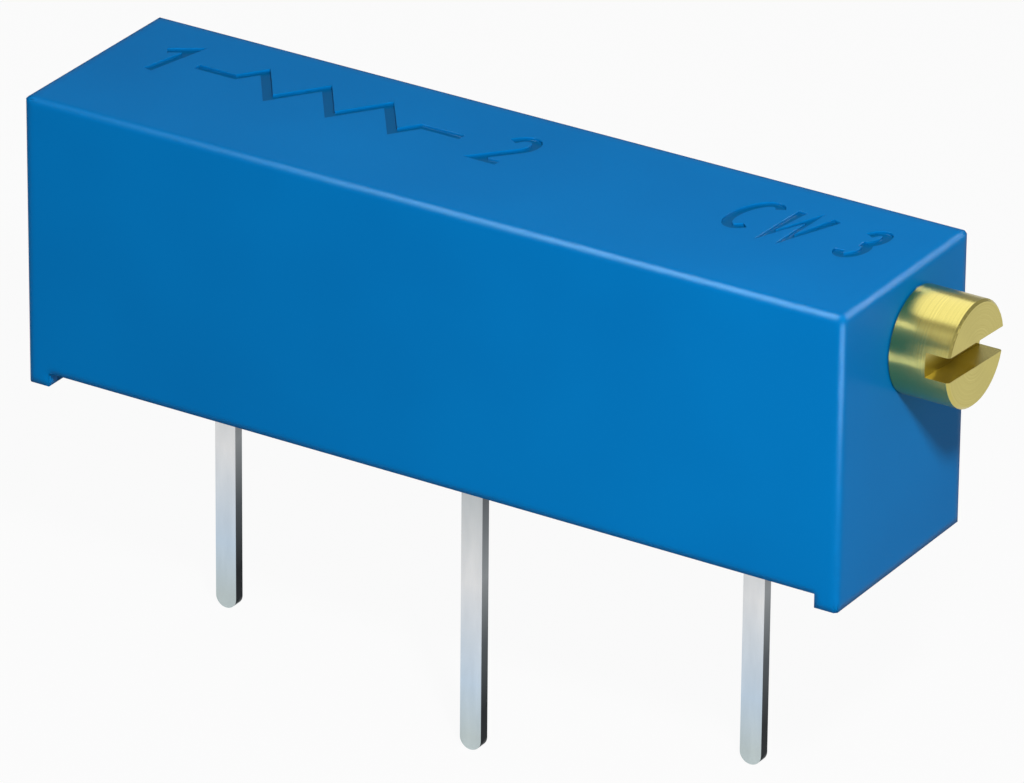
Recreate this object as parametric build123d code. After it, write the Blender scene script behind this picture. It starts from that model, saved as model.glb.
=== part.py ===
from build123d import *
import math
import os

# Rectangular multiturn trimmer potentiometer with three board pins.
# Millimetres. The origin is on the board plane, centred under the housing.
# +X points out of the screw's end, +Z up, and the row of two pins is on the +Y side.

# Housing
body_length = 19.05
body_width = 4.83
body_height = 6.35
edge_bevel = 0.06
standoff_height = 0.30
standoff_length = 0.50
top_wall = 0.60
pocket_ledge = 0.25
tail_wall = 0.92
tail_ledge = 0.30

# Screw, from its head inwards
screw_y = 0.43
screw_drop = 1.55
head_radius = 1.11
head_protrusion = 1.35
head_edge = 0.05
driver_slot_width = 0.52
driver_slot_depth = 0.52
driver_slot_angle = 3.5
shank_radius = 0.93
shank_length = 0.66
groove_length = 0.56
groove_radius = 0.53
ring_edge = 0.14
collar_length = 0.32
neck_length = 0.42
neck_radius = 0.60
inner_collar_length = 0.26
thread_lead = 0.70
thread_crest_radius = 0.75
thread_root_radius = 0.50
thread_crest_width = 0.18
thread_foot_width = 0.48
thread_sink = 0.05
journal_radius = 0.44
journal_length = 0.42

# Fits
head_clearance = 0.03
shank_clearance = 0.04
passage_clearance = 0.06
journal_clearance = 0.04
neck_clearance = 0.05
clip_clearance = 0.02
thread_clearance = 0.06
mouth_clearance = 0.11
slide_clearance = 0.06
ring_clearance = 0.02
brush_clearance = 0.02
hole_clearance = 0.03
solder_clearance = 0.03

# Clip in the screw's neck
clip_thickness = 0.30
clip_arm = 0.62
clip_bevel = 0.20

# Ceramic strip and its printed films
seal_thickness = 0.80
substrate_thickness = 0.64
substrate_end_gap = 0.04
film_thickness = 0.04
track_inner_y = 0.20
resistor_width = 0.85
collector_width = 0.85
pad_length = 1.30
track_margin = 0.40

# Pins on the board's grid, as many steps apart as the housing has room for
pin_grid = 2.54
pin_setback = 2.425
steps_1_to_2 = 3
pin_width = 0.50
pin_thickness = 0.25
pin_length = 6.35
shoulder_width = 0.95
shoulder_height = 0.40
tongue_width = 0.42
tongue_height = 0.20
solder_radius = 0.37
solder_top_radius = 0.27
solder_height = 0.30

# Carriage and its contact
carriage_length = 3.40
nut_length = 1.60
carriage_lift = 0.85
carriage_rise = 0.55
carriage_bevel = 0.12
cheek_pocket_depth = 0.45
cheek_pocket_wall = 0.40
peg_radius = 0.20
peg_cap_radius = 0.32
peg_cap_height = 0.14
peg_root = 0.10
peg_x = 1.15
peg_spread = 0.62
spring_thickness = 0.10
spring_back_x = 1.50
spring_fork_x = 0.70
spring_arm_end_x = -0.30
comb_thickness = 0.08
comb_weld_length = 0.42
comb_bend_x = -0.38
comb_tip_x = -0.75
comb_curl_x = -0.97
comb_curl_height = 0.16
finger_count = 3
finger_width = 0.18
finger_gap = 0.06

# Lengthwise places that follow from the sizes above
half_length = body_length / 2
groove_x = half_length - shank_length
collar_x = groove_x - groove_length
neck_x = collar_x - collar_length
inner_collar_x = neck_x - neck_length
chamber_right = inner_collar_x - inner_collar_length
chamber_left = -half_length + tail_wall
pocket_left = chamber_left - tail_ledge
clip_x = neck_x - neck_length / 2
slot_left = clip_x - clip_thickness / 2 - clip_clearance
slot_right = clip_x + clip_thickness / 2 + clip_clearance
pocket_right = slot_right + tail_ledge
substrate_left = pocket_left + substrate_end_gap
substrate_right = slot_left - substrate_end_gap
terminal_1_x = -half_length + pin_setback
carriage_overhang = carriage_length / 2 - comb_tip_x - pad_length / 2 - track_margin
steps_1_to_3 = math.floor((chamber_right - carriage_overhang - terminal_1_x) / pin_grid)
terminal_2_x = terminal_1_x + steps_1_to_2 * pin_grid
terminal_3_x = terminal_1_x + steps_1_to_3 * pin_grid
track_left = terminal_1_x + pad_length / 2
track_right = terminal_3_x - pad_length / 2
travel_turns = math.floor((track_right - track_left - 2 * track_margin) / thread_lead)
carriage_x = (terminal_1_x + terminal_3_x) / 2 - comb_tip_x

# Widthwise places
half_width = body_width / 2
row_y = pin_grid / 2
pad_outer_y = row_y + solder_radius
chamber_half = pad_outer_y + solder_clearance
pocket_half = chamber_half + pocket_ledge
carriage_half = chamber_half - slide_clearance
comb_width = finger_count * finger_width + (finger_count - 1) * finger_gap
resistor_y = track_inner_y + resistor_width / 2
collector_y = -track_inner_y - collector_width / 2

# Heights
seal_bottom = standoff_height
substrate_bottom = seal_bottom + seal_thickness
substrate_top = substrate_bottom + substrate_thickness
film_top = substrate_top + film_thickness
ceiling = body_height - top_wall
screw_z = body_height - screw_drop
carriage_bottom = substrate_top + carriage_lift
carriage_top = screw_z + carriage_rise
spring_bottom = carriage_bottom - spring_thickness

bore_radius = shank_radius + shank_clearance


def block(x0, x1, y0, y1, z0, z1):
    """Box between two corners."""
    size = Box(x1 - x0, y1 - y0, z1 - z0)
    return Pos((x0 + x1) / 2, (y0 + y1) / 2, (z0 + z1) / 2) * size


def rod(radius, x0, x1):
    """Cylinder on the screw's axis."""
    place = Pos((x0 + x1) / 2, screw_y, screw_z) * Rot(0, 90, 0)
    return place * Cylinder(radius, x1 - x0)


def housing():
    body = block(-half_length, half_length, -half_width, half_width, 0, body_height)
    low_edges = body.edges().group_by(Axis.Z)[0]
    body = chamfer([e for e in body.edges() if e not in low_edges], edge_bevel)
    body -= block(
        -half_length + standoff_length,
        half_length - standoff_length,
        -body_width,
        body_width,
        -standoff_height,
        standoff_height,
    )
    body -= block(pocket_left, pocket_right, -pocket_half, pocket_half, 0, substrate_top)
    body -= block(chamber_left, chamber_right, -chamber_half, chamber_half, 0, ceiling)
    clip_half = neck_radius + neck_clearance + clip_arm + clip_clearance
    body -= block(
        slot_left,
        slot_right,
        screw_y - clip_half,
        screw_y + clip_half,
        substrate_bottom,
        screw_z + bore_radius + clip_clearance,
    )
    body -= rod(bore_radius, slot_right, half_length + head_protrusion)
    body -= rod(thread_crest_radius + passage_clearance, chamber_right, slot_right)
    bearing_left = chamber_left - journal_length - journal_clearance
    body -= rod(journal_radius + journal_clearance, bearing_left, chamber_left)
    return body


def thread(growth, x0, x1):
    """Right-hand ridge round the screw's core, grown by a clearance."""
    foot_radius = thread_root_radius + growth - thread_sink
    rise = thread_crest_radius + growth - foot_radius
    slope = (thread_foot_width - thread_crest_width) / 2 / (thread_crest_radius - thread_root_radius)
    crest_half = thread_crest_width / 2 + growth
    foot_half = crest_half + slope * rise
    path = Helix(pitch=thread_lead, height=x1 - x0, radius=foot_radius)
    outline = Polyline(
        (0, -foot_half), (rise, -crest_half), (rise, crest_half), (0, foot_half), close=True
    )
    section = Plane(origin=path @ 0, x_dir=(1, 0, 0), z_dir=(0, -1, 0)) * make_face(outline)
    ridge = sweep(section, path=path, is_frenet=True)
    phase = 360 * (x0 - carriage_x) / thread_lead
    return Pos(x0, screw_y, screw_z) * Rot(0, 90, 0) * Rot(0, 0, phase) * ridge


def threaded_rod(growth, x0, x1):
    return rod(thread_root_radius + growth, x0 - thread_lead, x1 + thread_lead) + thread(
        growth, x0, x1
    )


def lead_screw():
    tip = half_length + head_protrusion
    head_back = half_length + head_clearance
    head = rod(head_radius, head_back, tip)
    head = chamfer(head.edges().filter_by(GeomType.CIRCLE).sort_by(Axis.X)[-1], head_edge)
    screw = head + rod(shank_radius, groove_x, head_back)
    screw += rod(groove_radius, collar_x, groove_x)
    screw += rod(shank_radius, neck_x, collar_x)
    screw += rod(neck_radius, inner_collar_x, neck_x)
    screw += rod(thread_crest_radius, chamber_right, inner_collar_x)
    screw += rod(thread_root_radius, chamber_left, chamber_right)
    reach = (travel_turns * thread_lead + nut_length) / 2
    screw += thread(0, carriage_x - reach, carriage_x + reach)
    screw += rod(journal_radius, chamber_left - journal_length, chamber_left)
    slot = block(
        tip - driver_slot_depth,
        tip + head_edge,
        -head_radius - head_edge,
        head_radius + head_edge,
        -driver_slot_width / 2,
        driver_slot_width / 2,
    )
    return screw - Pos(0, screw_y, screw_z) * Rot(-driver_slot_angle, 0, 0) * slot


def o_ring():
    """Rubber ring, squeezed flat between the groove's floor and the bore."""
    width = groove_length - 2 * ring_clearance
    height = bore_radius - groove_radius - 2 * ring_clearance
    section = Rectangle(width, height)
    section = chamfer(section.vertices(), ring_edge)
    section = Pos(0, (bore_radius + groove_radius) / 2) * section
    return Pos((collar_x + groove_x) / 2, screw_y, screw_z) * revolve(section, Axis.X)


def retaining_clip():
    """Forked plate pushed up round the screw's neck from below."""
    gap = neck_radius + neck_clearance
    outer = gap + clip_arm
    plate = block(
        clip_x - clip_thickness / 2,
        clip_x + clip_thickness / 2,
        screw_y - outer,
        screw_y + outer,
        substrate_top,
        screw_z + shank_radius,
    )
    plate = chamfer(plate.edges().filter_by(Axis.X), clip_bevel)
    plate -= rod(gap, slot_left, slot_right)
    return plate - block(
        slot_left, slot_right, screw_y - gap, screw_y + gap, screw_z, body_height
    )


def carriage():
    """Slider with side cheeks and a half nut under the screw."""
    half = carriage_length / 2
    x0 = carriage_x - half
    x1 = carriage_x + half
    body = block(x0, x1, -carriage_half, carriage_half, carriage_bottom, carriage_top)
    body = chamfer(body.edges().filter_by(Axis.Z), carriage_bevel)
    mouth = thread_crest_radius + mouth_clearance
    body -= threaded_rod(thread_clearance, x0 - thread_lead, x1 + thread_lead)
    body -= rod(mouth, x0, carriage_x - nut_length / 2)
    body -= rod(mouth, carriage_x + nut_length / 2, x1)
    body -= block(x0, x1, screw_y - mouth, screw_y + mouth, screw_z, body_height)
    pocket_front = -carriage_half + cheek_pocket_wall
    pocket_back = screw_y - mouth - cheek_pocket_wall
    body -= block(
        x0 + cheek_pocket_wall,
        x1 - cheek_pocket_wall,
        pocket_front,
        pocket_back,
        carriage_top - cheek_pocket_depth,
        carriage_top,
    )
    for side in (-1, 1):
        body += peg(carriage_x + peg_x, side * peg_spread)
    return body


def peg(x, y):
    """Moulded peg whose melted cap holds the spring."""
    shank = Pos(x, y, spring_bottom) * Cylinder(
        peg_radius,
        spring_thickness + peg_root,
        align=(Align.CENTER, Align.CENTER, Align.MIN),
    )
    cap = Pos(x, y, spring_bottom - peg_cap_height) * Cone(
        peg_radius, peg_cap_radius, peg_cap_height, align=(Align.CENTER, Align.CENTER, Align.MIN)
    )
    return shank + cap


def wiper_spring():
    """Forked spring sheet, flat under the carriage, with an arm over each track."""
    back = carriage_x + spring_back_x
    fork = carriage_x + spring_fork_x
    front = carriage_x + spring_arm_end_x
    outer = max(resistor_y, -collector_y, peg_spread + peg_cap_radius) + comb_width / 2
    sheet = block(fork, back, -outer, outer, spring_bottom, carriage_bottom)
    sheet = chamfer(sheet.edges().filter_by(Axis.Z).group_by(Axis.X)[-1], carriage_bevel)
    for middle in (resistor_y, collector_y):
        y0 = middle - comb_width / 2
        sheet += block(front, fork, y0, y0 + comb_width, spring_bottom, carriage_bottom)
    for side in (-1, 1):
        sheet -= Pos(carriage_x + peg_x, side * peg_spread, carriage_bottom) * Cylinder(
            peg_radius, body_height
        )
    return sheet


def brush(middle):
    """Comb of sprung fingers, welded under one arm and bent down to its track."""
    top = spring_bottom - comb_thickness / 2
    low = film_top + brush_clearance + comb_thickness / 2
    weld_x = comb_bend_x + comb_weld_length
    path = FilletPolyline(
        (weld_x, top),
        (comb_bend_x, top),
        (comb_tip_x, low),
        (comb_curl_x, low + comb_curl_height),
        radius=comb_thickness,
    )
    strip = Plane.XZ * trace(path, comb_thickness)
    comb = Pos(carriage_x, middle + comb_width / 2, 0) * extrude(strip, comb_width)
    pitch = finger_width + finger_gap
    for k in range(1, finger_count):
        y1 = middle - comb_width / 2 + k * pitch
        gap = block(
            carriage_x + comb_curl_x - comb_thickness,
            carriage_x + comb_bend_x,
            y1 - finger_gap,
            y1,
            substrate_top,
            carriage_bottom,
        )
        comb -= gap
    return comb


def tongue_hole(x, y, z0, z1):
    """Room for a pin's tongue."""
    half_x = tongue_width / 2 + hole_clearance
    half_y = pin_thickness / 2 + hole_clearance
    return block(x - half_x, x + half_x, y - half_y, y + half_y, z0, z1)


def substrate():
    half = pocket_half - substrate_end_gap
    strip = block(substrate_left, substrate_right, -half, half, substrate_bottom, substrate_top)
    for x, y in pin_places():
        strip -= tongue_hole(x, y, substrate_bottom, substrate_top)
    return strip


def pin_places():
    return [(terminal_1_x, row_y), (terminal_2_x, -row_y), (terminal_3_x, row_y)]


def resistor_film():
    return block(
        track_left,
        track_right,
        track_inner_y,
        track_inner_y + resistor_width,
        substrate_top,
        film_top,
    )


def collector_film():
    """Conductor track with the landing for the middle pin."""
    track = block(
        track_left,
        track_right,
        -track_inner_y - collector_width,
        -track_inner_y,
        substrate_top,
        film_top,
    )
    landing = block(
        terminal_2_x - pad_length / 2,
        terminal_2_x + pad_length / 2,
        -pad_outer_y,
        -track_inner_y - collector_width,
        substrate_top,
        film_top,
    )
    return track + landing - tongue_hole(terminal_2_x, -row_y, substrate_top, film_top)


def end_pad(x):
    pad = block(
        x - pad_length / 2,
        x + pad_length / 2,
        track_inner_y,
        pad_outer_y,
        substrate_top,
        film_top,
    )
    return pad - tongue_hole(x, row_y, substrate_top, film_top)


def terminal(x, y):
    """Stamped flat pin with a round tip, a shoulder in the seal and a tongue."""
    tip = seal_bottom - pin_length
    round_centre = tip + pin_width / 2
    blade = Pos(0, (round_centre + substrate_bottom) / 2) * Rectangle(
        pin_width, substrate_bottom - round_centre
    )
    outline = blade + Pos(0, round_centre) * Circle(pin_width / 2)
    outline += Pos(0, substrate_bottom - shoulder_height / 2) * Rectangle(
        shoulder_width, shoulder_height
    )
    tongue_top = film_top + tongue_height
    outline += Pos(0, (substrate_bottom + tongue_top) / 2) * Rectangle(
        tongue_width, tongue_top - substrate_bottom
    )
    return Pos(x, y + pin_thickness / 2, 0) * extrude(Plane.XZ * outline, pin_thickness)


def solder(x, y):
    """Fillet of solder round a tongue."""
    cone = Pos(x, y, film_top) * Cone(
        solder_radius,
        solder_top_radius,
        solder_height,
        align=(Align.CENTER, Align.CENTER, Align.MIN),
    )
    tongue = block(
        x - tongue_width / 2,
        x + tongue_width / 2,
        y - pin_thickness / 2,
        y + pin_thickness / 2,
        film_top,
        film_top + tongue_height,
    )
    return cone - tongue


def base_seal(pins):
    """Casting that fills the pocket under the strip and beyond its end."""
    fill = block(
        pocket_left, pocket_right, -pocket_half, pocket_half, seal_bottom, substrate_bottom
    )
    fill += block(
        slot_left, pocket_right, -pocket_half, pocket_half, substrate_bottom, substrate_top
    )
    for pin in pins:
        fill -= pin
    return fill


def main():
    os.makedirs("parts", exist_ok=True)
    pins = [terminal(x, y) for x, y in pin_places()]
    parts = {
        "housing": housing(),
        "lead_screw": lead_screw(),
        "o_ring": o_ring(),
        "retaining_clip": retaining_clip(),
        "carriage": carriage(),
        "wiper_spring": wiper_spring(),
        "resistor_brush": brush(resistor_y),
        "collector_brush": brush(collector_y),
        "substrate": substrate(),
        "resistor_film": resistor_film(),
        "collector_film": collector_film(),
        "end_pad_1": end_pad(terminal_1_x),
        "end_pad_3": end_pad(terminal_3_x),
        "base_seal": base_seal(pins),
    }
    for number, (pin, place) in enumerate(zip(pins, pin_places()), start=1):
        parts[f"terminal_{number}"] = pin
        parts[f"solder_{number}"] = solder(*place)
    for name, solid in parts.items():
        export_step(solid, f"parts/{name}.step")


main()
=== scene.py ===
import math

import bmesh
import bpy
from mathutils import Matrix, Vector


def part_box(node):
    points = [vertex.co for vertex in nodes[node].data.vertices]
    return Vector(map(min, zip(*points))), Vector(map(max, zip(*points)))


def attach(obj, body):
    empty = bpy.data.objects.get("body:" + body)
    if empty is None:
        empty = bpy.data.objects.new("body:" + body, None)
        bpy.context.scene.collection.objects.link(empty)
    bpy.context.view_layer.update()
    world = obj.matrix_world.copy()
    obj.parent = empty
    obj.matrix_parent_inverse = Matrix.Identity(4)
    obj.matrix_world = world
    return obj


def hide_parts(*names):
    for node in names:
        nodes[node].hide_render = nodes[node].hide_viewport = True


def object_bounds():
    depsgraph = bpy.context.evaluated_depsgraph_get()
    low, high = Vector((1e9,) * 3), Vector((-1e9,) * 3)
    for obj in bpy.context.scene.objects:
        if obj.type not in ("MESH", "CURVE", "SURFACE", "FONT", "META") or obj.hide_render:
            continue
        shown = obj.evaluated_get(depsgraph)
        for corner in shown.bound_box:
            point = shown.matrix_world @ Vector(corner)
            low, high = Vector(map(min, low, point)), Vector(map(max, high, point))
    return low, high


# Looks of a rectangular multiturn trimmer potentiometer: blue moulded housing with
# sunk marks on top, brass adjustment screw, tinned flat pins, sealed works inside.
# Blender's metres, in the part's own frame: board plane at z = 0, screw's end at +X.

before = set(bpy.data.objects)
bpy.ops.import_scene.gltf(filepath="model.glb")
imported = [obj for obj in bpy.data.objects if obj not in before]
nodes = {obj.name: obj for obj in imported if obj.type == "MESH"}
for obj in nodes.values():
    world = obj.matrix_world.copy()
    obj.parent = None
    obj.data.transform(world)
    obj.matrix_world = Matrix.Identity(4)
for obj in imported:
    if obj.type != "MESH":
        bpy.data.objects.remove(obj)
cad_low, cad_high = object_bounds()

MM = 0.001

# Camera, found from the housing's corners in the 1024 x 783 photograph
IMAGE_WIDTH_PX = 1024
CAMERA_AZIMUTH = 31.83
CAMERA_ELEVATION = 25.89
CAMERA_ROLL = 0.54
CAMERA_DISTANCE = 187.65 * MM
FOCAL_PX = 9381.9
SENSOR_MM = 36.0
CAMERA_TARGET = Vector((0.57, 0.0, 1.45)) * MM
CAMERA_NEAR = 10 * MM
CAMERA_FAR = 10000 * MM

# Doubles are points closer than this, which loose triangles share
MERGE_DISTANCE = 0.0005 * MM

# Marks sunk in the housing's top: strokes of one width, leaning to the right
MARK_DEPTH = 0.06 * MM
MARK_BASELINE_Y = 0.06 * MM
MARK_HEIGHT = 1.30 * MM
MARK_STROKE = 0.21 * MM
MARK_LEAN = 0.22
MARK_ARC_STEPS = 16
MARK_ROUND_STEPS = 24
# The least cosine at a corner that its mitre follows; a sharper corner comes out blunter
MARK_MITRE_LIMIT = 0.35
MARKS = [
    # sign, where it starts and ends along the housing before it leans
    ("1", -8.62 * MM, -8.22 * MM),
    ("2", -0.38 * MM, 0.14 * MM),
    ("C", 5.20 * MM, 5.84 * MM),
    ("W", 6.12 * MM, 6.90 * MM),
    ("3", 7.80 * MM, 8.20 * MM),
]
ZIGZAG_LEFT = -7.45 * MM
ZIGZAG_RIGHT = -1.10 * MM
ZIGZAG_LEAD = 0.95 * MM
ZIGZAG_TEETH = 6
ZIGZAG_RISE = 0.52 * MM

# Light on the part: a small key at the front right, and an even dim sky
KEY_DIRECTION = Vector((0.50, -0.54, 0.68))
KEY_DISTANCE = 80 * MM
KEY_SIZE = 8 * MM
KEY_RADIANCE = 280.0
SKY_LIGHT = 0.26

# Studio floor, and how much of a white glow the camera and a glossy surface see in it
# and in the sky. The rest of the floor is the paper's own shade, with the part's shadow.
FLOOR_HALF = 1000 * MM
FLOOR_SEEN = 0.95
FLOOR_MIRRORED = 0.6
SKY_SEEN = 1.0
SKY_MIRRORED = 0.1

# Gloss cards, which only show as highlights on one piece and light nothing else. Each
# stands where a surface that faces a given way mirrors it to the camera.
GLOSS_CARDS = [
    # name, piece, spot (mm), facing, distance, width, length (mm), along, radiance
    ("front_top_card", "housing_shell", (8, -2.4, 6.3), (0, -1, 1), 60, 72, 22, (1, 0, 0), 120.0),
    ("right_top_card", "housing_shell", (9.5, 0, 6.3), (1, 0, 1), 60, 66, 14, (0, 1, 0), 34.0),
    ("upright_card", "housing_shell", (9.5, -2.4, 5.8), (1, -1, 0), 14, 15, 4, (0, 0, 1), 100.0),
    ("screw_top_card", "lead_screw", (10.2, 0.4, 4.8), (0, -0.342, 0.94), 60, 80, 40, (1, 0, 0), 1.1),
    ("screw_front_card", "lead_screw", (10.2, 0.4, 4.8), (0, -0.97, 0.26), 45, 30, 30, (1, 0, 0), 0.55),
]

# Fine rounding that no stamped edge lacks, cut in the pins' meshes
PIN_EDGE = 0.03 * MM
PIN_EDGE_SEGMENTS = 2
PIN_EDGE_ANGLE = math.radians(40)

# Rounding that the housing's edges only seem to have, in how they are shaded: a wide one
# within the border along the upright faces, and a fine one at the marks further in
SHADED_EDGE = 0.26 * MM
SHADED_MARK_EDGE = 0.02 * MM
SHADED_BORDER = 0.3 * MM

# Finishes of the works inside: a fine noise leads both the colour and the relief
WORKS_RELIEF = 0.002 * MM
WORKS = [
    # finish, nodes, dark, light, grain (mm), roughness, metallic
    # Solder that froze on the pins: bright silver grey with a soft mottle
    ("bright_solder", ["solder_1", "solder_2", "solder_3"], "#9AA2A8", "#C6CCD0", 0.15, 0.25, 1.0),
    # Silicone moulded in a fine-blasted tool: dull brick red
    ("silicone_rubber", ["o_ring"], "#6E1F16", "#7C281C", 0.1, 0.6, 0.0),
    # Cold-rolled stainless strip, stamped: half-bright grey
    ("stainless_strip", ["retaining_clip"], "#8C9094", "#A8ACB0", 0.05, 0.35, 1.0),
    # Unpigmented nylon, moulded: warm white, half dull
    ("natural_nylon", ["carriage"], "#DCD8CA", "#E8E4D8", 0.3, 0.45, 0.0),
    # Rolled spring sheet: reddish gold, bright
    ("beryllium_copper", ["wiper_spring"], "#B98A55", "#CE9E66", 0.1, 0.3, 1.0),
    # Drawn wires of a precious alloy, laid side by side: warm silver
    (
        "precious_metal_comb",
        ["resistor_brush", "collector_brush"],
        "#C9C2B0",
        "#DCD6C6",
        0.05,
        0.25,
        1.0,
    ),
    # Alumina pressed and fired: chalky off-white, matte
    ("fired_alumina", ["substrate"], "#E2DFD6", "#EFECE4", 0.08, 0.7, 0.0),
    # Glass and metal-oxide paste, screen printed and fired: near black
    ("cermet_ink", ["resistor_film"], "#1D211E", "#30342F", 0.03, 0.55, 0.0),
    # Silver paste, screen printed and fired: grey, with a dull sheen
    (
        "silver_palladium_ink",
        ["collector_film", "end_pad_1", "end_pad_3"],
        "#A9A69E",
        "#BEBBB2",
        0.04,
        0.5,
        1.0,
    ),
    # Epoxy poured and cured: dark blue, half glossy, slightly cloudy
    ("cast_epoxy", ["base_seal"], "#123A63", "#174674", 0.6, 0.3, 0.0),
]


def srgb(code):
    """Linear colour, with alpha, of an sRGB hex value."""
    channels = [int(code[i : i + 2], 16) / 255 for i in (1, 3, 5)]
    linear = [c / 12.92 if c <= 0.04045 else ((c + 0.055) / 1.055) ** 2.4 for c in channels]
    return (*linear, 1.0)


def add(tree, kind, inputs=None, **settings):
    """Adds one node with its settings, its values and its links."""
    made = tree.nodes.new(kind)
    for name, value in settings.items():
        setattr(made, name, value)
    for name, value in (inputs or {}).items():
        if isinstance(value, bpy.types.NodeSocket):
            tree.links.new(value, made.inputs[name])
        else:
            made.inputs[name].default_value = value
    return made


def surface(name, **values):
    """A material with one Principled shader; returns it, its tree and the shader."""
    material = bpy.data.materials.new(name)
    material.use_nodes = True
    tree = material.node_tree
    shader = tree.nodes["Principled BSDF"]
    for socket, value in values.items():
        shader.inputs[socket.replace("_", " ")].default_value = value
    return material, tree, shader


def per_mm(size_mm):
    """Noise scale whose cells are about that many millimetres."""
    return 1 / (size_mm * MM)


def object_coordinates(tree, stretch=(1, 1, 1)):
    """The piece's own coordinates, with each axis scaled."""
    where = add(tree, "ShaderNodeTexCoord")
    mapping = add(tree, "ShaderNodeMapping", {"Vector": where.outputs["Object"], "Scale": stretch})
    return mapping.outputs["Vector"]


def ramp(tree, factor, stops):
    """Colour ramp through (position, hex colour) stops."""
    made = add(tree, "ShaderNodeValToRGB", {"Fac": factor})
    elements = made.color_ramp.elements
    while len(elements) < len(stops):
        elements.new(0.5)
    for element, (position, code) in zip(elements, stops):
        element.position = position
        element.color = srgb(code)
    return made.outputs["Color"]


def border_share(tree):
    """One near the housing's upright faces, none further in."""
    where = add(tree, "ShaderNodeTexCoord")
    size = cad_housing_half()
    folded = add(tree, "ShaderNodeVectorMath", {0: where.outputs["Object"]}, operation="ABSOLUTE")
    past = add(
        tree,
        "ShaderNodeVectorMath",
        {0: folded.outputs["Vector"], 1: (size.x - SHADED_BORDER, size.y - SHADED_BORDER, 0)},
        operation="SUBTRACT",
    )
    split = add(tree, "ShaderNodeSeparateXYZ", {"Vector": past.outputs["Vector"]})
    nearer = add(tree, "ShaderNodeMath", {0: split.outputs["X"], 1: split.outputs["Y"]}, operation="MAXIMUM")
    near = add(tree, "ShaderNodeMath", {0: nearer.outputs["Value"], 1: 0.0}, operation="GREATER_THAN")
    return near.outputs["Value"]


def painted_mark_shade_share(tree):
    """Share of painted shade: one on the floors of the sunk marks, none on the top around them. It is also
    one further down wherever no upright face is near: inside the housing and underneath."""
    where = add(tree, "ShaderNodeTexCoord")
    height = add(tree, "ShaderNodeSeparateXYZ", {"Vector": where.outputs["Object"]})
    top = cad_housing_top()
    sunk = add(
        tree,
        "ShaderNodeMapRange",
        {"Value": height.outputs["Z"], "From Min": top - MARK_DEPTH / 4, "From Max": top - MARK_DEPTH},
    )
    share = add(
        tree,
        "ShaderNodeMath",
        {0: sunk.outputs["Result"], 1: border_share(tree)},
        operation="SUBTRACT",
        use_clamp=True,
    )
    return share.outputs["Value"]


def edge_radius(tree):
    """Radius that edges seem rounded to: wide round the housing, fine at its marks."""
    radius = add(
        tree,
        "ShaderNodeMapRange",
        {"Value": border_share(tree), "To Min": SHADED_MARK_EDGE, "To Max": SHADED_EDGE},
    )
    return radius.outputs["Result"]


def blue_thermoplastic():
    """Glass-filled thermoplastic, moulded in a polished tool: even deep blue, satin,
    with a very slight cloudiness of the pigment and a fine grain from the filler. The
    marks' floors are painted a darker blue, as painted shade in the recesses; inside the
    housing and underneath take the same painted shade. The specular level is far below
    such a plastic's, to keep the even blue in a white studio."""
    cloud_mm = 4
    filler_mm = 0.06
    material, tree, shader = surface(
        "moulded_blue_thermoplastic", IOR=1.5, Specular_IOR_Level=0.03, Specular_Tint=srgb("#A4D6F6")
    )
    where = object_coordinates(tree)
    cloud = add(tree, "ShaderNodeTexNoise", {"Vector": where, "Scale": per_mm(cloud_mm), "Detail": 2})
    colour = ramp(tree, cloud.outputs["Fac"], [(0.3, "#0275BD"), (0.7, "#027AC3")])
    # Painted shade: a darker blue on the marks' floors and on whatever lies lower, away from the upright
    # faces
    painted_mark_shade = add(
        tree,
        "ShaderNodeMix",
        {"Factor": painted_mark_shade_share(tree), "A": colour, "B": srgb("#025F97")},
        data_type="RGBA",
    )
    tree.links.new(painted_mark_shade.outputs["Result"], shader.inputs["Base Color"])
    grain = add(tree, "ShaderNodeTexNoise", {"Vector": where, "Scale": per_mm(filler_mm), "Detail": 3})
    rough = add(
        tree,
        "ShaderNodeMapRange",
        {"Value": grain.outputs["Fac"], "To Min": 0.20, "To Max": 0.26},
    )
    tree.links.new(rough.outputs["Result"], shader.inputs["Roughness"])
    rounded = add(tree, "ShaderNodeBevel", {"Radius": edge_radius(tree)}, samples=12)
    bump = add(
        tree,
        "ShaderNodeBump",
        {
            "Height": grain.outputs["Fac"],
            "Distance": 0.002 * MM,
            "Strength": 0.5,
            "Normal": rounded.outputs["Normal"],
        },
    )
    tree.links.new(bump.outputs["Normal"], shader.inputs["Normal"])
    return material


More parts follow.
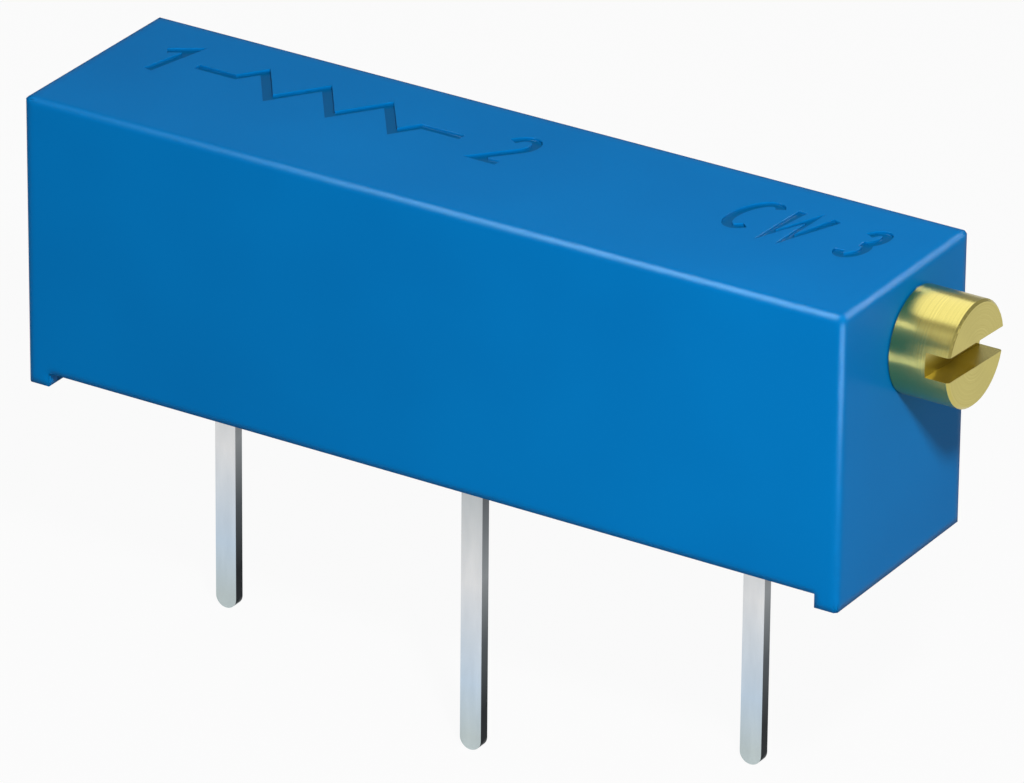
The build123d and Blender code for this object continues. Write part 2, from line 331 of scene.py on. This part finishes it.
def turned_brass():
    """Free-cutting brass off a lathe: bright yellow, with fine tool rings round the axis
    that draw each highlight out across them. A ray that comes from another surface meets
    it rougher, which keeps the key's second reflection off the blue end face."""
    tool_feed_mm = 0.035
    roughness = 0.25
    roughness_when_bounced = 0.6
    material, tree, shader = surface("turned_brass", Metallic=1.0, Anisotropic=0.75)
    where = add(tree, "ShaderNodeTexCoord")
    low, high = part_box("lead_screw")
    head_y = (low.y + high.y) / 2
    head_z = (low.z + high.z) / 2
    centred = add(
        tree,
        "ShaderNodeMapping",
        {"Vector": where.outputs["Object"], "Location": (0, -head_y, -head_z)},
    )
    split = add(tree, "ShaderNodeSeparateXYZ", {"Vector": centred.outputs["Vector"]})
    across = add(tree, "ShaderNodeCombineXYZ", {"Y": split.outputs["Y"], "Z": split.outputs["Z"]})
    radius = add(tree, "ShaderNodeVectorMath", {0: across.outputs["Vector"]}, operation="LENGTH")
    station = add(
        tree, "ShaderNodeMath", {0: split.outputs["X"], 1: radius.outputs["Value"]}, operation="ADD"
    )
    rings = add(
        tree,
        "ShaderNodeTexNoise",
        {"W": station.outputs["Value"], "Scale": per_mm(tool_feed_mm), "Detail": 3},
        noise_dimensions="1D",
    )
    colour = ramp(tree, rings.outputs["Fac"], [(0.25, "#D4C56E"), (0.75, "#DFD27C")])
    tree.links.new(colour, shader.inputs["Base Color"])
    bump = add(
        tree,
        "ShaderNodeBump",
        {"Height": rings.outputs["Fac"], "Distance": 0.003 * MM, "Strength": 0.18},
    )
    tree.links.new(bump.outputs["Normal"], shader.inputs["Normal"])
    rays = add(tree, "ShaderNodeLightPath")
    bounced = add(
        tree,
        "ShaderNodeMath",
        {0: rays.outputs["Is Diffuse Ray"], 1: rays.outputs["Is Glossy Ray"]},
        operation="MAXIMUM",
    )
    calm = add(
        tree,
        "ShaderNodeMath",
        {0: bounced.outputs["Value"], 1: roughness_when_bounced, 2: roughness},
        operation="MULTIPLY_ADD",
    )
    tree.links.new(calm.outputs["Value"], shader.inputs["Roughness"])
    brushed = add(
        tree,
        "ShaderNodeCombineXYZ",
        {"X": radius.outputs["Value"], "Y": split.outputs["Y"], "Z": split.outputs["Z"]},
    )
    tree.links.new(brushed.outputs["Vector"], shader.inputs["Tangent"])
    return material


def bright_tin():
    """Copper-alloy strip with bright tin plate, then sheared into pins: pale faces with a painted reflection
    that runs light grey, white, pale blue and pale grey down the pin, softly wavy, and dull edges of bare
    metal darkened by painted shade that runs to near black at the tip."""
    wave_mm = 0.25
    wave_stretch = 0.18
    material, tree, shader = surface("bright_tin_plate", Metallic=1.0)
    where = object_coordinates(tree, (1, 1, wave_stretch))
    place = add(tree, "ShaderNodeTexCoord")
    station = add(tree, "ShaderNodeSeparateXYZ", {"Vector": place.outputs["Object"]})
    flow = add(tree, "ShaderNodeTexNoise", {"Vector": where, "Scale": per_mm(wave_mm), "Detail": 3})
    # Share of the way from the board down to the pin's tip, which sets the painted reflection and shade
    along = add(
        tree,
        "ShaderNodeMapRange",
        {"Value": station.outputs["Z"], "From Min": 0.0, "From Max": cad_low.z, "To Max": 1.0},
    )
    # Painted reflection: the faces run light grey, white, pale blue, then pale grey towards the tip
    painted_reflection_down_pin = ramp(
        tree,
        along.outputs["Result"],
        [(0.0, "#D3D8D9"), (0.38, "#FFFFFF"), (0.75, "#DDEFFF"), (0.95, "#D6E2E2")],
    )
    wave = ramp(tree, flow.outputs["Fac"], [(0.2, "#EDEFF1"), (0.8, "#FFFFFF")])
    face = add(
        tree,
        "ShaderNodeMix",
        {"Factor": 1.0, "A": painted_reflection_down_pin, "B": wave},
        data_type="RGBA",
        blend_type="MULTIPLY",
    ).outputs["Result"]
    geometry = add(tree, "ShaderNodeNewGeometry")
    split = add(tree, "ShaderNodeSeparateXYZ", {"Vector": geometry.outputs["Normal"]})
    side = add(tree, "ShaderNodeMath", {0: split.outputs["X"]}, operation="ABSOLUTE")
    sheared = add(
        tree,
        "ShaderNodeMapRange",
        {"Value": side.outputs["Value"], "From Min": 0.6, "From Max": 0.9},
    )
    # Sheared edges: their own dull bare grey, plus painted shade and reflection running mid grey near the
    # board, lighter a third of the way down, near black at the tip
    edge = ramp(
        tree,
        along.outputs["Result"],
        [(0.05, "#6E7478"), (0.35, "#A2A7AA"), (0.6, "#5A6166"), (0.85, "#161D22")],
    )
    colour = add(
        tree,
        "ShaderNodeMix",
        {"Factor": sheared.outputs["Result"], "A": face, "B": edge},
        data_type="RGBA",
    )
    tree.links.new(colour.outputs["Result"], shader.inputs["Base Color"])
    rough = add(
        tree,
        "ShaderNodeMapRange",
        {"Value": sheared.outputs["Result"], "To Min": 0.22, "To Max": 0.45},
    )
    tree.links.new(rough.outputs["Result"], shader.inputs["Roughness"])
    bump = add(
        tree,
        "ShaderNodeBump",
        {"Height": flow.outputs["Fac"], "Distance": 0.004 * MM, "Strength": 0.5},
    )
    tree.links.new(bump.outputs["Normal"], shader.inputs["Normal"])
    return material


def speckled(name, dark, light, grain_mm, roughness, metallic):
    """A finish whose colour and relief follow one fine noise, for the works inside."""
    material, tree, shader = surface(name, Metallic=metallic, Roughness=roughness)
    where = object_coordinates(tree)
    noise = add(tree, "ShaderNodeTexNoise", {"Vector": where, "Scale": per_mm(grain_mm), "Detail": 3})
    colour = ramp(tree, noise.outputs["Fac"], [(0.3, dark), (0.7, light)])
    tree.links.new(colour, shader.inputs["Base Color"])
    bump = add(
        tree,
        "ShaderNodeBump",
        {"Height": noise.outputs["Fac"], "Distance": WORKS_RELIEF, "Strength": 0.6},
    )
    tree.links.new(bump.outputs["Normal"], shader.inputs["Normal"])
    return material


def dress(piece, material):
    """The piece wears one material."""
    piece.data.materials.clear()
    piece.data.materials.append(material)


def merged_copy(node, name):
    """A copy of a node's mesh with its doubles merged, for a piece that takes its place."""
    mesh = bpy.data.meshes.new(name)
    form = bmesh.new()
    form.from_mesh(nodes[node].data)
    bmesh.ops.remove_doubles(form, verts=form.verts, dist=MERGE_DISTANCE)
    form.to_mesh(mesh)
    form.free()
    piece = bpy.data.objects.new(name, mesh)
    bpy.context.scene.collection.objects.link(piece)
    return piece


def arc(centre, radii, start, end, steps=MARK_ARC_STEPS):
    """Points along part of an ellipse, between two angles in degrees."""
    points = []
    for k in range(steps + 1):
        angle = math.radians(start + (end - start) * k / steps)
        points.append((centre[0] + radii[0] * math.cos(angle), centre[1] + radii[1] * math.sin(angle)))
    return points


def sign_outlines(sign):
    """Middle lines of one sign's strokes, in a box one wide and one high."""
    if sign == "1":
        return [[(0, 0.76), (1, 1), (1, 0)]]
    if sign == "2":
        return [arc((0.5, 0.73), (0.5, 0.27), 165, -30) + [(0, 0), (1, 0)]]
    if sign == "3":
        return [
            arc((0.45, 0.75), (0.45, 0.25), 165, -100),
            arc((0.5, 0.26), (0.5, 0.26), 100, -160),
        ]
    if sign == "C":
        return [arc((0.5, 0.5), (0.5, 0.5), 50, 310, steps=MARK_ROUND_STEPS)]
    return [[(0, 1), (0.22, 0), (0.5, 0.9), (0.78, 0), (1, 1)]]


def sign_mark(outline, left, right):
    """One stroke of a leaning sign on the housing's top."""
    points = []
    for across, up in outline:
        x = left + across * (right - left) + MARK_LEAN * up * MARK_HEIGHT
        points.append(Vector((x, MARK_BASELINE_Y + up * MARK_HEIGHT)))
    return stroke(points)


def cad_housing_top():
    """Height of the housing's top."""
    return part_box("housing")[1].z


def cad_housing_half():
    """Half the housing's length and width, from its middle at the origin."""
    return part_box("housing")[1]


def stroke(points):
    """Closed mesh that cuts a stroke of even width along a line of points: a flat strip
    at the mark's depth, mitred at its corners and raised through the top."""
    form = bmesh.new()
    top = cad_housing_top()
    legs = [(end - start).normalized() for start, end in zip(points, points[1:])]
    rows = []
    for point, before, after in zip(points, legs[:1] + legs, legs + legs[-1:]):
        along = (before + after).normalized()
        across = Vector((-along.y, along.x))
        squareness = across.dot(Vector((-after.y, after.x)))
        reach = MARK_STROKE / 2 / max(MARK_MITRE_LIMIT, squareness)
        sides = (point + across * reach, point - across * reach)
        rows.append([form.verts.new((side.x, side.y, top - MARK_DEPTH)) for side in sides])
    faces = [form.faces.new((a[0], a[1], b[1], b[0])) for a, b in zip(rows, rows[1:])]
    raised = bmesh.ops.extrude_face_region(form, geom=faces)
    lifted = [v for v in raised["geom"] if isinstance(v, bmesh.types.BMVert)]
    bmesh.ops.translate(form, verts=lifted, vec=(0, 0, 2 * MARK_DEPTH))
    bmesh.ops.recalc_face_normals(form, faces=form.faces)
    mesh = bpy.data.meshes.new("stroke")
    form.to_mesh(mesh)
    form.free()
    return mesh


def resistor_sign():
    """Zigzag of a resistor between two leads, at half the marks' height."""
    middle = MARK_BASELINE_Y + MARK_HEIGHT / 2
    start = ZIGZAG_LEFT + ZIGZAG_LEAD
    pitch = (ZIGZAG_RIGHT - ZIGZAG_LEAD - start) / ZIGZAG_TEETH
    points = [Vector((ZIGZAG_LEFT, middle)), Vector((start, middle))]
    for k in range(ZIGZAG_TEETH):
        rise = ZIGZAG_RISE if k % 2 == 0 else -ZIGZAG_RISE
        points.append(Vector((start + (k + 0.5) * pitch, middle + rise)))
    points.append(Vector((ZIGZAG_RIGHT - ZIGZAG_LEAD, middle)))
    points.append(Vector((ZIGZAG_RIGHT, middle)))
    return stroke(points)


def cut(piece, mesh):
    """Takes one closed mesh away from a piece. Millimetres keep the solver exact."""
    to_mm = Matrix.Scale(1 / MM, 4)
    tool = bpy.data.objects.new("tool", mesh)
    bpy.context.scene.collection.objects.link(tool)
    mesh.transform(to_mm)
    piece.data.transform(to_mm)
    change = piece.modifiers.new("sunk mark", "BOOLEAN")
    change.operation = "DIFFERENCE"
    change.solver = "EXACT"
    change.use_self = True
    change.object = tool
    bpy.context.view_layer.update()
    result = bpy.data.meshes.new_from_object(piece.evaluated_get(bpy.context.evaluated_depsgraph_get()))
    piece.modifiers.clear()
    piece.data = result
    piece.data.transform(to_mm.inverted())
    bpy.data.objects.remove(tool)


def build_housing():
    """The moulded shell with its sunk marks."""
    shell = merged_copy("housing", "housing_shell")
    for sign, left, right in MARKS:
        for outline in sign_outlines(sign):
            cut(shell, sign_mark(outline, left, right))
    cut(shell, resistor_sign())
    shell.data.shade_flat()
    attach(shell, "case")
    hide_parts("housing")
    dress(shell, blue_thermoplastic())
    return shell


def soften(pin):
    """Welds a pin's loose triangles and rounds its sharp edges a little."""
    weld = pin.modifiers.new("weld", "WELD")
    weld.merge_threshold = MERGE_DISTANCE
    bevel = pin.modifiers.new("edge", "BEVEL")
    bevel.width = PIN_EDGE
    bevel.segments = PIN_EDGE_SEGMENTS
    bevel.limit_method = "ANGLE"
    bevel.angle_limit = PIN_EDGE_ANGLE
    bevel.harden_normals = True


def dress_pins():
    """The three board pins, stamped from one plated strip."""
    tin = bright_tin()
    for number in (1, 2, 3):
        pin = nodes[f"terminal_{number}"]
        dress(pin, tin)
        soften(pin)


def dress_works():
    """Finishes of the pieces inside the housing."""
    for finish, wearers, dark, light, grain_mm, roughness, metallic in WORKS:
        material = speckled(finish, dark, light, grain_mm, roughness, metallic)
        for node in wearers:
            dress(nodes[node], material)


def camera_axes():
    """The camera's right, up and backward directions."""
    azimuth = math.radians(CAMERA_AZIMUTH)
    elevation = math.radians(CAMERA_ELEVATION)
    roll = math.radians(CAMERA_ROLL)
    back = Vector(
        (
            math.sin(azimuth) * math.cos(elevation),
            -math.cos(azimuth) * math.cos(elevation),
            math.sin(elevation),
        )
    )
    level_right = Vector((0, 0, 1)).cross(back).normalized()
    level_up = back.cross(level_right)
    right = math.cos(roll) * level_right + math.sin(roll) * level_up
    up = math.cos(roll) * level_up - math.sin(roll) * level_right
    return right, up, back


def build_camera():
    """The photograph's viewpoint."""
    right, up, back = camera_axes()
    camera = bpy.data.objects.new("camera", bpy.data.cameras.new("camera"))
    camera.data.sensor_width = SENSOR_MM
    camera.data.lens = FOCAL_PX * SENSOR_MM / IMAGE_WIDTH_PX
    camera.data.clip_start = CAMERA_NEAR
    camera.data.clip_end = CAMERA_FAR
    turn = Matrix((right, up, back)).transposed().to_4x4()
    camera.matrix_world = Matrix.Translation(CAMERA_TARGET + back * CAMERA_DISTANCE) @ turn
    bpy.context.scene.collection.objects.link(camera)
    bpy.context.scene.camera = camera


def mirrored(facing):
    """Direction that the camera sees in a surface that faces that way."""
    back = camera_axes()[2]
    normal = Vector(facing).normalized()
    return 2 * back.dot(normal) * normal - back


def softbox(name, spot, direction, distance, width, length, along, radiance):
    """Area lamp that shines on a spot from a direction, its length lying along a line.
    Its power is what gives its surface that radiance."""
    lamp = bpy.data.lights.new(name, "AREA")
    lamp.shape = "RECTANGLE"
    lamp.size = width
    lamp.size_y = length
    lamp.energy = radiance * math.pi * width * length
    holder = bpy.data.objects.new(name, lamp)
    backward = direction.normalized()
    side = Vector(along).cross(backward).normalized()
    turn = Matrix((side, backward.cross(side), backward)).transposed().to_4x4()
    holder.matrix_world = Matrix.Translation(spot + distance * backward) @ turn
    holder.visible_camera = False
    bpy.context.scene.collection.objects.link(holder)
    return holder


def build_lights(pieces):
    """The key light and the gloss cards."""
    middle = (cad_low + cad_high) / 2
    softbox("key", middle, KEY_DIRECTION, KEY_DISTANCE, KEY_SIZE, KEY_SIZE, (1, 0, 0), KEY_RADIANCE)
    for name, piece, spot, facing, distance, width, length, along, radiance in GLOSS_CARDS:
        holder = softbox(
            name,
            Vector(spot) * MM,
            mirrored(facing),
            distance * MM,
            width * MM,
            length * MM,
            along,
            radiance,
        )
        holder.visible_diffuse = False
        receivers = bpy.data.collections.new(name)
        receivers.objects.link(pieces[piece])
        holder.light_linking.receiver_collection = receivers


def glow_share(tree, seen, in_gloss):
    """Share of white glow in a backdrop: one share for the camera, one for gloss and
    glass, and none in the light that it throws on the part."""
    rays = add(tree, "ShaderNodeLightPath")
    bounced = add(
        tree,
        "ShaderNodeMath",
        {0: rays.outputs["Is Glossy Ray"], 1: rays.outputs["Is Transmission Ray"]},
        operation="MAXIMUM",
    )
    direct = add(tree, "ShaderNodeMath", {0: rays.outputs["Is Camera Ray"], 1: seen}, operation="MULTIPLY")
    return add(
        tree,
        "ShaderNodeMath",
        {0: bounced.outputs["Value"], 1: in_gloss, 2: direct.outputs["Value"]},
        operation="MULTIPLY_ADD",
    ).outputs["Value"]


def white_paper():
    """Seamless studio paper: white in the picture, with the part's shadow still on it."""
    material, tree, shader = surface(
        "white_paper", Base_Color=srgb("#B3B3B3"), Roughness=0.9, Specular_IOR_Level=0.0
    )
    glow = add(tree, "ShaderNodeEmission", {"Color": srgb("#FFFFFF"), "Strength": 1.0})
    share = glow_share(tree, FLOOR_SEEN, FLOOR_MIRRORED)
    mix = add(
        tree,
        "ShaderNodeMixShader",
        {0: share, 1: shader.outputs["BSDF"], 2: glow.outputs["Emission"]},
    )
    tree.links.new(mix.outputs["Shader"], tree.nodes["Material Output"].inputs["Surface"])
    return material


def build_sky():
    """Even dim light from all round, which the camera sees as white."""
    world = bpy.data.worlds.new("studio")
    bpy.context.scene.world = world
    world.use_nodes = True
    tree = world.node_tree
    dim = tree.nodes["Background"]
    dim.inputs["Color"].default_value = srgb("#FFFFFF")
    dim.inputs["Strength"].default_value = SKY_LIGHT
    white = add(tree, "ShaderNodeBackground", {"Color": srgb("#FFFFFF"), "Strength": 1.0})
    mix = add(
        tree,
        "ShaderNodeMixShader",
        {
            0: glow_share(tree, SKY_SEEN, SKY_MIRRORED),
            1: dim.outputs["Background"],
            2: white.outputs["Background"],
        },
    )
    tree.links.new(mix.outputs["Shader"], tree.nodes["World Output"].inputs["Surface"])


def build_floor():
    """Pale floor at the pins' tips."""
    mesh = bpy.data.meshes.new("floor")
    form = bmesh.new()
    bmesh.ops.create_grid(form, x_segments=1, y_segments=1, size=FLOOR_HALF)
    bmesh.ops.translate(form, verts=form.verts, vec=(0, 0, cad_low.z))
    form.to_mesh(mesh)
    form.free()
    floor = bpy.data.objects.new("floor", mesh)
    bpy.context.scene.collection.objects.link(floor)
    dress(floor, white_paper())


build_camera()
build_floor()
build_sky()
shell = build_housing()
dress_pins()
dress(nodes["lead_screw"], turned_brass())
dress_works()
build_lights({"housing_shell": shell, "lead_screw": nodes["lead_screw"]})

bpy.context.scene.view_settings.view_transform = "Standard"
